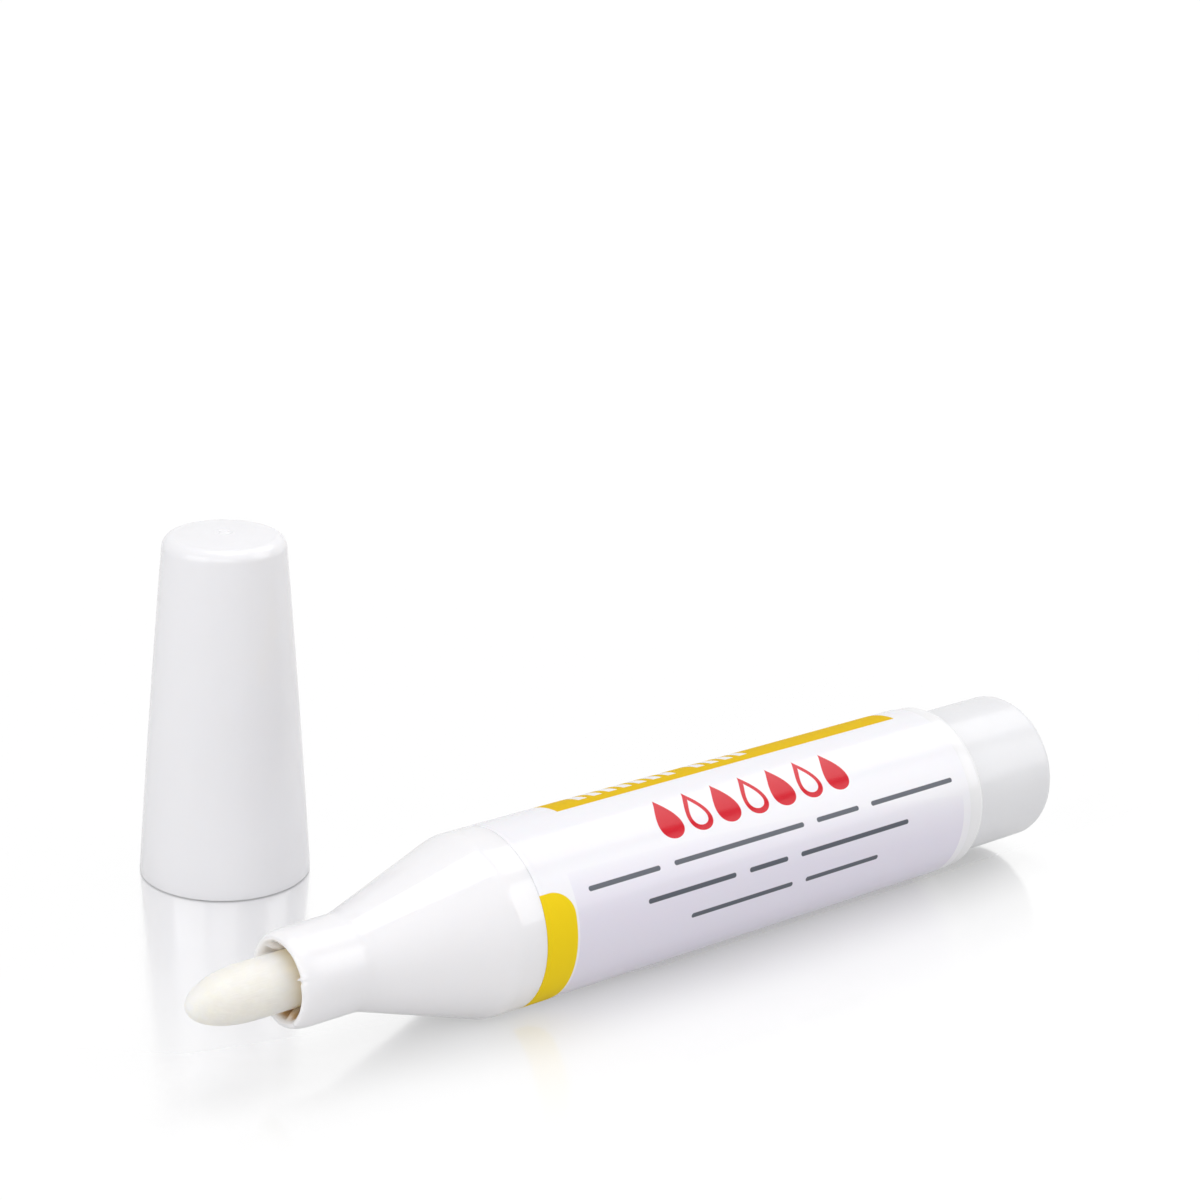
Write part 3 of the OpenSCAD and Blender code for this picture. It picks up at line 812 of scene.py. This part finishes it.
# The stripe's yellow is the tab's yellow ink, darkened as painted shade.
YELLOW, YELLOW_PAINTED_SHADE = (0.88, 0.63, 0.003, 1), (0.76, 0.49, 0.001, 1)
RED, GREY = (0.62, 0.004, 0.018, 1), (0.10, 0.11, 0.135, 1)
PAPER, PAPER_SHADE, LILAC_PAINTED_SHADE = (0.875, 0.86, 0.895, 1), (0.865, 0.85, 0.89, 1), (0.775, 0.74, 0.84, 1)
PANEL = {"along": (2.9, 46.3), "height": (-90 * DEGREE, 230 * DEGREE), "corner": 0.6}
# Painted shade: the lilac shows only below a line that falls from 43 to 18 degrees along the pen; above it
# the film is left white.
PAINTED_SHADE_TOP, PAINTED_SHADE_FALL, PAINTED_SHADE_FADE = 43 * DEGREE, 25 * DEGREE, 4.0
TAB = {"along": (LABEL_START - 1.9, 2.7), "height": (-62 * DEGREE, 34.5 * DEGREE), "corner": 2.1}
STRIPE = {"along": (6.4, 44.6), "height": (91.5 * DEGREE, 127 * DEGREE), "corner": 0.05}
TICK_ROWS, TICK_PITCH, TICK_W, TICK_H, TICK_CORNER = ((9.2, 20.4), (22.0, 28.4)), 1.6, 0.9, 2.2, 0.3
TICK_FOOT = STRIPE["height"][0] + 1.2
BAR_H = 0.42
BAR_CORNER = BAR_H / 2.1
BAR_ROWS = {30.0: ((4.4, 11.8), (13.3, 27.6), (29.1, 34.0), (35.5, 45.4)),
            11.8: ((10.0, 19.4), (20.9, 25.2), (26.7, 39.4)),
            -6.6: ((14.6, 25.8), (27.3, 35.8))}
DROPS, DROP_PITCH, DROP_START, DROP_HEIGHT = 7, 3.1, 13.0, 60.0 * DEGREE
DROP_H, DROP_W, DROP_TAPER, DROP_HOLE, DROP_HOLE_DOWN = 2.05, 1.75, 0.75, 0.66, 0.2


# %% Helpers for masks
def box_mask(tree, film, along, height, corner):
    """1 in a rounded box, 0 outside: there the length of max(|p - centre| - half, 0) is over the corner."""
    centre = ((along[0] + along[1]) / 2, (height[0] + height[1]) / 2, 0)
    half = ((along[1] - along[0]) / 2 - corner, (height[1] - height[0]) / 2 - corner, 0)
    away = vectors(tree, "ABSOLUTE", vectors(tree, "SUBTRACT", film, centre))
    away = vectors(tree, "MAXIMUM", vectors(tree, "SUBTRACT", away, half), (0, 0, 0))
    length = vectors(tree, "LENGTH", vectors(tree, "MULTIPLY", away, (1, 1, 0)))
    return ramp(tree, length, corner + SOFT, corner - SOFT)


def together(tree, masks):
    """1 where any of the masks is 1."""
    whole = masks[0]
    for mask in masks[1:]:
        whole = maths(tree, "MAXIMUM", whole, mask)
    return whole


# %% Masks for the stripe and the bars
def stripe_mask(tree, film, u):
    """The yellow stripe, less its two rows of ticks, which start with the first row and keep one pitch."""
    stripe = box_mask(tree, film, **STRIPE)
    tall = (TICK_FOOT, TICK_FOOT + TICK_H)
    rows = together(tree, [box_mask(tree, film, row, tall, TICK_CORNER) for row in TICK_ROWS])
    in_pitch = maths(tree, "FLOORED_MODULO", maths(tree, "SUBTRACT", u, TICK_ROWS[0][0]), TICK_PITCH)
    off_tick = maths(tree, "ABSOLUTE", maths(tree, "SUBTRACT", in_pitch, TICK_PITCH / 2))
    ticks = maths(tree, "MULTIPLY", rows, ramp(tree, off_tick, TICK_W / 2 + SOFT, TICK_W / 2 - SOFT))
    return maths(tree, "MAXIMUM", maths(tree, "SUBTRACT", stripe, ticks), 0.0)


def bars_mask(tree, film):
    """The rows of grey bars, each as high as BAR_H and centred on its row's angle."""
    bars = []
    for row, row_bars in BAR_ROWS.items():
        tall = (row * DEGREE - BAR_H / 2, row * DEGREE + BAR_H / 2)
        bars += [box_mask(tree, film, bar, tall, BAR_CORNER) for bar in row_bars]
    return together(tree, bars)


# %% Masks for the drops
def drop_mask(tree, along, height, grow):
    """A drop, point up: half width = W*sqrt(1 - c*c)*((1 - c)/2)**DROP_TAPER, with c the height over H."""
    c = maths(tree, "DIVIDE", height, DROP_H * grow)
    c = maths(tree, "MINIMUM", maths(tree, "MAXIMUM", c, -1.0), 1.0)
    circle = maths(tree, "SQRT", maths(tree, "SUBTRACT", 1.0, maths(tree, "MULTIPLY", c, c)))
    taper = maths(tree, "POWER", maths(tree, "MULTIPLY", maths(tree, "SUBTRACT", 1.0, c), 0.5), DROP_TAPER)
    half = maths(tree, "MULTIPLY", maths(tree, "MULTIPLY", circle, taper), DROP_W * grow)
    return ramp(tree, maths(tree, "SUBTRACT", half, maths(tree, "ABSOLUTE", along)), 0.0, 2 * SOFT)


def drops_mask(tree, u, v):
    """Seven drops in a row, in turn full and hollow."""
    from_start = maths(tree, "SUBTRACT", u, DROP_START)
    inside = maths(tree, "SUBTRACT", maths(tree, "FLOORED_MODULO", from_start, DROP_PITCH), DROP_PITCH / 2)
    height = maths(tree, "SUBTRACT", v, DROP_HEIGHT)
    full = drop_mask(tree, inside, height, 1.0)
    hollow = drop_mask(tree, inside, maths(tree, "ADD", height, DROP_HOLE_DOWN), DROP_HOLE)
    odd = maths(tree, "GREATER_THAN", maths(tree, "FLOORED_MODULO", from_start, 2 * DROP_PITCH), DROP_PITCH)
    drops = maths(tree, "SUBTRACT", full, maths(tree, "MULTIPLY", hollow, odd))
    row = maths(tree, "MULTIPLY", maths(tree, "GREATER_THAN", from_start, 0.0),
                maths(tree, "LESS_THAN", from_start, DROPS * DROP_PITCH))
    return maths(tree, "MULTIPLY", maths(tree, "MAXIMUM", drops, 0.0), row)


# %% Mask for the lilac tint, which is painted shade
def lilac_painted_shade_mask(tree, film, u, v):
    """The lilac print of the panel, kept as painted shade to its lower part, up to TOP - FALL*share**2. It
    fades in as a square root.
    """
    share = ramp(tree, u, *PANEL["along"])
    fall = maths(tree, "MULTIPLY", maths(tree, "MULTIPLY", share, share), PAINTED_SHADE_FALL)
    edge = maths(tree, "SUBTRACT", PAINTED_SHADE_TOP, fall)
    below = ramp(tree, maths(tree, "SUBTRACT", edge, v), 0.0, PAINTED_SHADE_FADE)
    return maths(tree, "MULTIPLY", box_mask(tree, film, **PANEL), maths(tree, "SQRT", below))


# %% [markdown]
# The film is glossy paper-white plastic. The yellow ink is laid on thick and dull, which keeps it deep in
# colour; on the stripe it is darkened further as painted shade. The lilac panel is kept to the pen's lower
# part as painted shade. The label's finish puts the masks together in the order in which a press prints.

# %% Print the label
LABEL_IOR, LABEL_SHINE, LABEL_GLOW, LABEL_GLOW_DEPTH = 1.5, 0.22, 0.06, 0.2 * MM
LABEL_ROUGHNESS, INK_MATT = (0.12, 0.16), 0.6
LABEL_PEEL_SCALE, LABEL_PEEL_STRENGTH = 900.0, 0.08


def label_print():
    """Glossy printed film: white, with a lilac panel kept to its lower part as painted shade, a yellow tab, a
    stripe in yellow darkened as painted shade, red drops and grey bars.
    """
    material, tree, shader = start_material(
        "label_print", Subsurface_Weight=LABEL_GLOW, Subsurface_Scale=LABEL_GLOW_DEPTH, IOR=LABEL_IOR,
        Specular_IOR_Level=LABEL_SHINE)
    film = add(tree, "UVMap", {"uv_map": "film"}).outputs[0]
    u, v = add(tree, "SeparateXYZ", None, Vector=film).outputs[:2]
    place = add(tree, "TexCoord").outputs["Object"]
    patches = noise(tree, place, PATCH_SCALE, PATCH_DETAIL)
    stripe = stripe_mask(tree, film, u)
    tab = box_mask(tree, film, **TAB)
    colour = blend_colour(tree, patches, PAPER, PAPER_SHADE)
    # Painted shade: the lilac panel is laid only on the lower part of the film.
    colour = blend_colour(tree, lilac_painted_shade_mask(tree, film, u, v), colour, LILAC_PAINTED_SHADE)
    colour = blend_colour(tree, tab, colour, YELLOW)
    # Painted shade: the stripe takes the darker copy of the tab's yellow.
    colour = blend_colour(tree, stripe, colour, YELLOW_PAINTED_SHADE)
    colour = blend_colour(tree, drops_mask(tree, u, v), colour, RED)
    colour = blend_colour(tree, bars_mask(tree, film), colour, GREY)
    matt = maths(tree, "MULTIPLY", maths(tree, "MAXIMUM", tab, stripe), INK_MATT)
    rough = maths(tree, "ADD", ramp(tree, patches, *PATCH_SPAN, *LABEL_ROUGHNESS), matt)
    dress(tree, shader, colour, rough, noise(tree, place, LABEL_PEEL_SCALE), LABEL_PEEL_STRENGTH, PEEL_DEPTH)
    return material


label_finish = label_print()
print("label print:", len(label_finish.node_tree.nodes), "nodes")

# %% Wrap the label
FILM_EDGE, FILM_STEP, FILM_TOP = 0.03, 0.5, SHOULDER_R - 1e-6
SEAM_PLACE, SEAM_W, SEAM_DEPTH, SEAM_SPAN, SEAM_ROWS = 0.15, 0.08, 0.012, (-0.25, 0.55), 41
LAP_ANGLE, LAP_W, LAP_DEPTH = 250.0, 0.06, 0.03


def label_profile():
    """A thin closed outline: the outer face with softly broken edges, then the inner face."""
    over_seam = np.linspace(*SEAM_SPAN, SEAM_ROWS)
    return dense(np.vstack([
        [(LABEL_START, BARREL_R + FILM_EDGE), (LABEL_START + FILM_EDGE, SHOULDER_R)],
        np.stack([over_seam, np.full(SEAM_ROWS, SHOULDER_R)], axis=1),
        [(LABEL_END - FILM_EDGE, SHOULDER_R), (LABEL_END, SHOULDER_R - FILM_EDGE), (LABEL_END, BARREL_R)],
        [(LABEL_START, BARREL_R)]]), FILM_STEP)


def label_grid():
    """The wrapped film, with a dip over the seam and a fine line where the film laps over itself."""
    place, radius = (label_profile()[:, k:k + 1] for k in (0, 1))
    degrees = np.linspace(LAP_ANGLE - 360, LAP_ANGLE, COLUMNS + 1)
    from_lap = np.radians(np.minimum(degrees - degrees[0], degrees[-1] - degrees)) * SHOULDER_R
    dip = SEAM_DEPTH * np.exp(-(((place - SEAM_PLACE) / SEAM_W) ** 2)) * np.ones_like(degrees)
    lap = LAP_DEPTH * np.exp(-((from_lap / LAP_W) ** 2)) * np.ones_like(place)
    radius = radius - (radius > FILM_TOP) * (dip + lap)
    points = on_pen(place, radius[:, :-1], np.radians(degrees)[None, :-1])
    film = np.stack(np.broadcast_arrays(place, degrees[None, :] * DEGREE), axis=-1)
    return points, film


film_points, film_map = label_grid()
piece_from_grid("label_film", film_points, True, label_finish, "pen", "label", film_map)

# %% [markdown]
# ## Felt nib
# The nib is pressed polyester felt, soaked with clear oil. It looks almost like wax: creamy and so
# translucent that its shaded side stays bright, with fine fibres that lie along the pen. Where it enters
# the tube it is darker and amber: partly the oil that gathers there, partly painted shade of the tube's
# mouth. The surface is uneven by about a hundredth of a millimetre.

# %% Colour of the felt
FELT_PALE, FELT_CREAM, FELT_FIBRE = (0.83, 0.815, 0.785, 1), (0.805, 0.785, 0.74, 1), (0.86, 0.845, 0.80, 1)
# The amber at the tube's mouth is partly oil and partly painted shade of the mouth.
FELT_OIL_AND_SHADE, OIL_AND_SHADE_EDGE, OIL_AND_SHADE_REAR = (0.80, 0.66, 0.38, 1), (RIM - 1.0, RIM + 1.0), (RIM + 1.2, RIM + 4.5)
OIL_AND_SHADE_FALL, OIL_AND_SHADE_SHARES = 2.0, (0.85, 0.30)
FIBRE_SPAN, FIBRE_SHARE, CLOUD_SPAN = (0.5, 0.75), 0.4, (0.3, 0.7)


def felt_colour(tree, place, fibres, clouds):
    """Cream in soft clouds, paler along the fibres, and darker amber at the tube's mouth, less so deep in the
    tube: oil that gathers there, and painted shade of the mouth.
    """
    colour = blend_colour(tree, ramp(tree, clouds, *CLOUD_SPAN), FELT_PALE, FELT_CREAM)
    fibre_share = maths(tree, "MULTIPLY", ramp(tree, fibres, *FIBRE_SPAN), FIBRE_SHARE)
    colour = blend_colour(tree, fibre_share, colour, FELT_FIBRE)
    along = add(tree, "SeparateXYZ", None, Vector=place).outputs[0]
    # Painted shade and oil: darker amber where the felt goes into the tube.
    soaked = maths(tree, "POWER", ramp(tree, along, *pen_places(*OIL_AND_SHADE_EDGE)), OIL_AND_SHADE_FALL)
    share = ramp(tree, along, *pen_places(*OIL_AND_SHADE_REAR), *OIL_AND_SHADE_SHARES)
    return blend_colour(tree, maths(tree, "MULTIPLY", soaked, share), colour, FELT_OIL_AND_SHADE)


# %% Felt
FELT_GLOW, FELT_GLOW_DEPTH, FELT_GLOW_TINT = 0.95, 2.7 * MM, (1.0, 0.92, 0.7)
FIBRE_SCALE, FIBRE_DETAIL, CLOUD_SCALE = (900.0, 6500.0, 6500.0), 3.0, 700.0
FELT_ROUGHNESS, FIBRE_BUMP, CLOUD_BUMP = (0.42, 0.7), (0.35, 0.06 * MM), (0.25, 0.12 * MM)


def felt():
    """Oil-soaked felt: translucent, with long fibres in its colour, its roughness and its bump."""
    material, tree, shader = start_material(
        "felt_cream", Subsurface_Weight=FELT_GLOW, Subsurface_Scale=FELT_GLOW_DEPTH,
        Subsurface_Radius=FELT_GLOW_TINT, Specular_IOR_Level=0.35, IOR=1.45, Sheen_Weight=0.12,
        Sheen_Roughness=0.5)
    place = add(tree, "TexCoord").outputs["Object"]
    stretched = add(tree, "Mapping", None, Vector=place, Scale=FIBRE_SCALE).outputs[0]
    fibres = noise(tree, stretched, 1.0, FIBRE_DETAIL)
    clouds = noise(tree, place, CLOUD_SCALE)
    fine = add(tree, "Bump", None, Strength=FIBRE_BUMP[0], Distance=FIBRE_BUMP[1], Height=fibres)
    rough = ramp(tree, fibres, *PATCH_SPAN, *FELT_ROUGHNESS)
    dress(tree, shader, felt_colour(tree, place, fibres, clouds), rough, clouds, *CLOUD_BUMP,
          Normal=fine.outputs[0])
    return material


felt_cream = felt()
print("felt:", len(felt_cream.node_tree.nodes), "nodes")

# %% Outline of the nib
NIB_POINT, NIB_BREAK, NIB_STEP = 5.2, 0.25, 0.12


def nib_profile():
    """A bullet: half an ellipse, then a rod with a broken rear edge."""
    outline = np.vstack([
        arc((NIB_TIP + NIB_POINT, 0), (NIB_POINT, NIB_R), -90, 0, 90),
        [(NIB_REAR - NIB_BREAK, NIB_R), (NIB_REAR, NIB_R - NIB_BREAK), (NIB_REAR, 0)]])
    outline[0, 1] = 0
    return dense(outline, NIB_STEP)


# %% Turn the nib
FELT_SEED, GRAIN_ALONG, GRAIN_ROUND = 7, 0.10, 0.06
FELT_UNEVEN, SMOOTH_TIP, SMOOTH_REAR = 0.012, 1.5, 0.5


def soft_random(rows):
    """Random heights from -1 to 1 that wrap round: each wave is scaled by exp(-(f/width)**2) in both ways."""
    random = np.random.default_rng(FELT_SEED).normal(size=(rows, COLUMNS))
    along = (np.fft.fftfreq(rows)[:, None] / GRAIN_ALONG) ** 2
    across = (np.fft.fftfreq(COLUMNS)[None, :] / GRAIN_ROUND) ** 2
    uneven = np.real(np.fft.ifft2(np.fft.fft2(random) * np.exp(-along - across)))
    return uneven / np.abs(uneven).max()


def nib_grid():
    """The turned bullet with the unevenness of felt taken off its radius, except at the tip and the rear."""
    profile = nib_profile()
    place, radius = profile[:, :1], profile[:, 1:]
    tip = smooth_step((place - NIB_TIP) / SMOOTH_TIP)
    rear = smooth_step((NIB_REAR - SMOOTH_REAR - place) / SMOOTH_REAR)
    uneven = FELT_UNEVEN * (1 + soft_random(len(profile))) * (tip * rear)
    return on_pen(place, radius - uneven, around()[None, :])


piece_from_grid("felt_nib", nib_grid(), False, felt_cream, "nib", "nib", sharp=60)

# %% [markdown]
# ## Valve and seals
# Behind the nib sit the plunger with its rubber washer, the coil that shuts it and the cage that holds
# them. They don't show, but they move, so each has its own finish. Plunger, cage and the cap's liner are
# unpigmented plastic, and the washer and the two seal rings are rubber. They keep their CAD shape.


# %% Helper for cloudy finishes
def cloudy(tree, shader, clouds, colours, roughness, height, bump):
    """Dresses the shader in two colours and a span of roughness that go with the clouds, and in a bump."""
    rough = ramp(tree, clouds, *CLOUD_SPAN, *roughness)
    dress(tree, shader, blend_colour(tree, clouds, *colours), rough, height, *bump)


# %% Milky plastic
MILKY, MILKY_ROUGHNESS = ((0.86, 0.87, 0.86, 1), (0.78, 0.80, 0.80, 1)), (0.32, 0.46)
MILKY_FLOW, MILKY_GRAIN, MILKY_BUMP = (260.0, 3.0), 1800.0, (0.15, 0.05 * MM)


def milky_plastic():
    """Unpigmented polypropylene: milky, satin, with faint flow marks."""
    material, tree, shader = start_material(
        "milky_plastic", Subsurface_Weight=0.4, Subsurface_Scale=1.0 * MM, IOR=PLASTIC_IOR)
    place = add(tree, "TexCoord").outputs["Object"]
    flow, grain = noise(tree, place, *MILKY_FLOW), noise(tree, place, MILKY_GRAIN)
    cloudy(tree, shader, flow, MILKY, MILKY_ROUGHNESS, grain, MILKY_BUMP)
    return material


# %% Seal rubber
BLACK, BLACK_ROUGHNESS = ((0.012, 0.012, 0.014, 1), (0.035, 0.035, 0.038, 1)), (0.5, 0.72)
BLACK_BLOOM, BLACK_GRAIN, BLACK_BUMP = (500.0, 4.0), 4000.0, (0.2, 0.04 * MM)


def seal_rubber():
    """Black rubber with a dusty bloom and a fine grain."""
    material, tree, shader = start_material("black_rubber", IOR=1.5)
    place = add(tree, "TexCoord").outputs["Object"]
    bloom, grain = noise(tree, place, *BLACK_BLOOM), noise(tree, place, BLACK_GRAIN)
    cloudy(tree, shader, bloom, BLACK, BLACK_ROUGHNESS, grain, BLACK_BUMP)
    return material


# %% Dress the inner pieces
INNER_FINISHES = {"natural_plastic": (milky_plastic(), ("valve_stem", "valve_cage", "cap_liner")),
                  "seal_rubber": (seal_rubber(), ("valve_seal", "nose_seal", "plug_seal"))}
for slot_name, (finish, node_names) in INNER_FINISHES.items():
    for node_name in node_names:
        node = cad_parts[node_name]
        for material_slot in node.material_slots:
            material_slot.material = finish
    print(slot_name, "on", node_names)

# %% [markdown]
# ## Coil
# The coil is wound again with a round wire, and gets a mesh of its own. In the pen it shortens when the nib
# is pressed: it is squashed towards its seat in the cage, and the front end goes with the plunger.

# %% Spring wire
STEEL, STEEL_ROUGHNESS = ((0.56, 0.57, 0.58, 1), (0.70, 0.70, 0.71, 1)), (0.18, 0.26)
DRAWN_SCALE, DRAWN_DETAIL, DRAWN_BUMP = (7000.0, 1500.0, 1500.0), 3.0, (0.1, 0.02 * MM)


def spring_wire():
    """Bright drawn steel wire with fine lines."""
    material, tree, shader = start_material("spring_wire", Metallic=1.0)
    place = add(tree, "TexCoord").outputs["Object"]
    stretched = add(tree, "Mapping", None, Vector=place, Scale=DRAWN_SCALE).outputs[0]
    lines = noise(tree, stretched, 1.0, DRAWN_DETAIL)
    cloudy(tree, shader, lines, STEEL, STEEL_ROUGHNESS, lines, DRAWN_BUMP)
    return material


# %% Wind the coil
coil_lo, coil_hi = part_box("valve_spring")
WIRE_R, COIL_TURNS, WIRE_SIDES, RINGS_PER_TURN = 0.25, 8, 16, 40
COIL_R = (coil_hi.y - coil_lo.y) / 2 / MM - WIRE_R
COIL_FRONT, COIL_REAR = from_seam(coil_lo.x) + WIRE_R, from_seam(coil_hi.x) - WIRE_R


def coil_grid():
    """Rings along a helix, outwards by wire*cos and along the pen by wire*sin, with both ends closed."""
    turn = np.linspace(0, 1, COIL_TURNS * RINGS_PER_TURN + 1)
    turn = np.concatenate([[0], turn, [1]])[:, None]
    side = np.linspace(0, 2 * np.pi, WIRE_SIDES, endpoint=False)[None, :]
    wire = np.full(len(turn), WIRE_R)[:, None]
    wire[0] = wire[-1] = 0
    place = COIL_FRONT + (COIL_REAR - COIL_FRONT) * turn + wire * np.sin(side)
    return on_pen(place, COIL_R + wire * np.cos(side), -np.pi / 2 - 2 * np.pi * COIL_TURNS * turn)


coil_piece = piece_from_grid(
    "valve_coil", coil_grid(), False, spring_wire(), "pen", "valve_spring")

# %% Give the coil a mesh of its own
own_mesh(coil_piece)
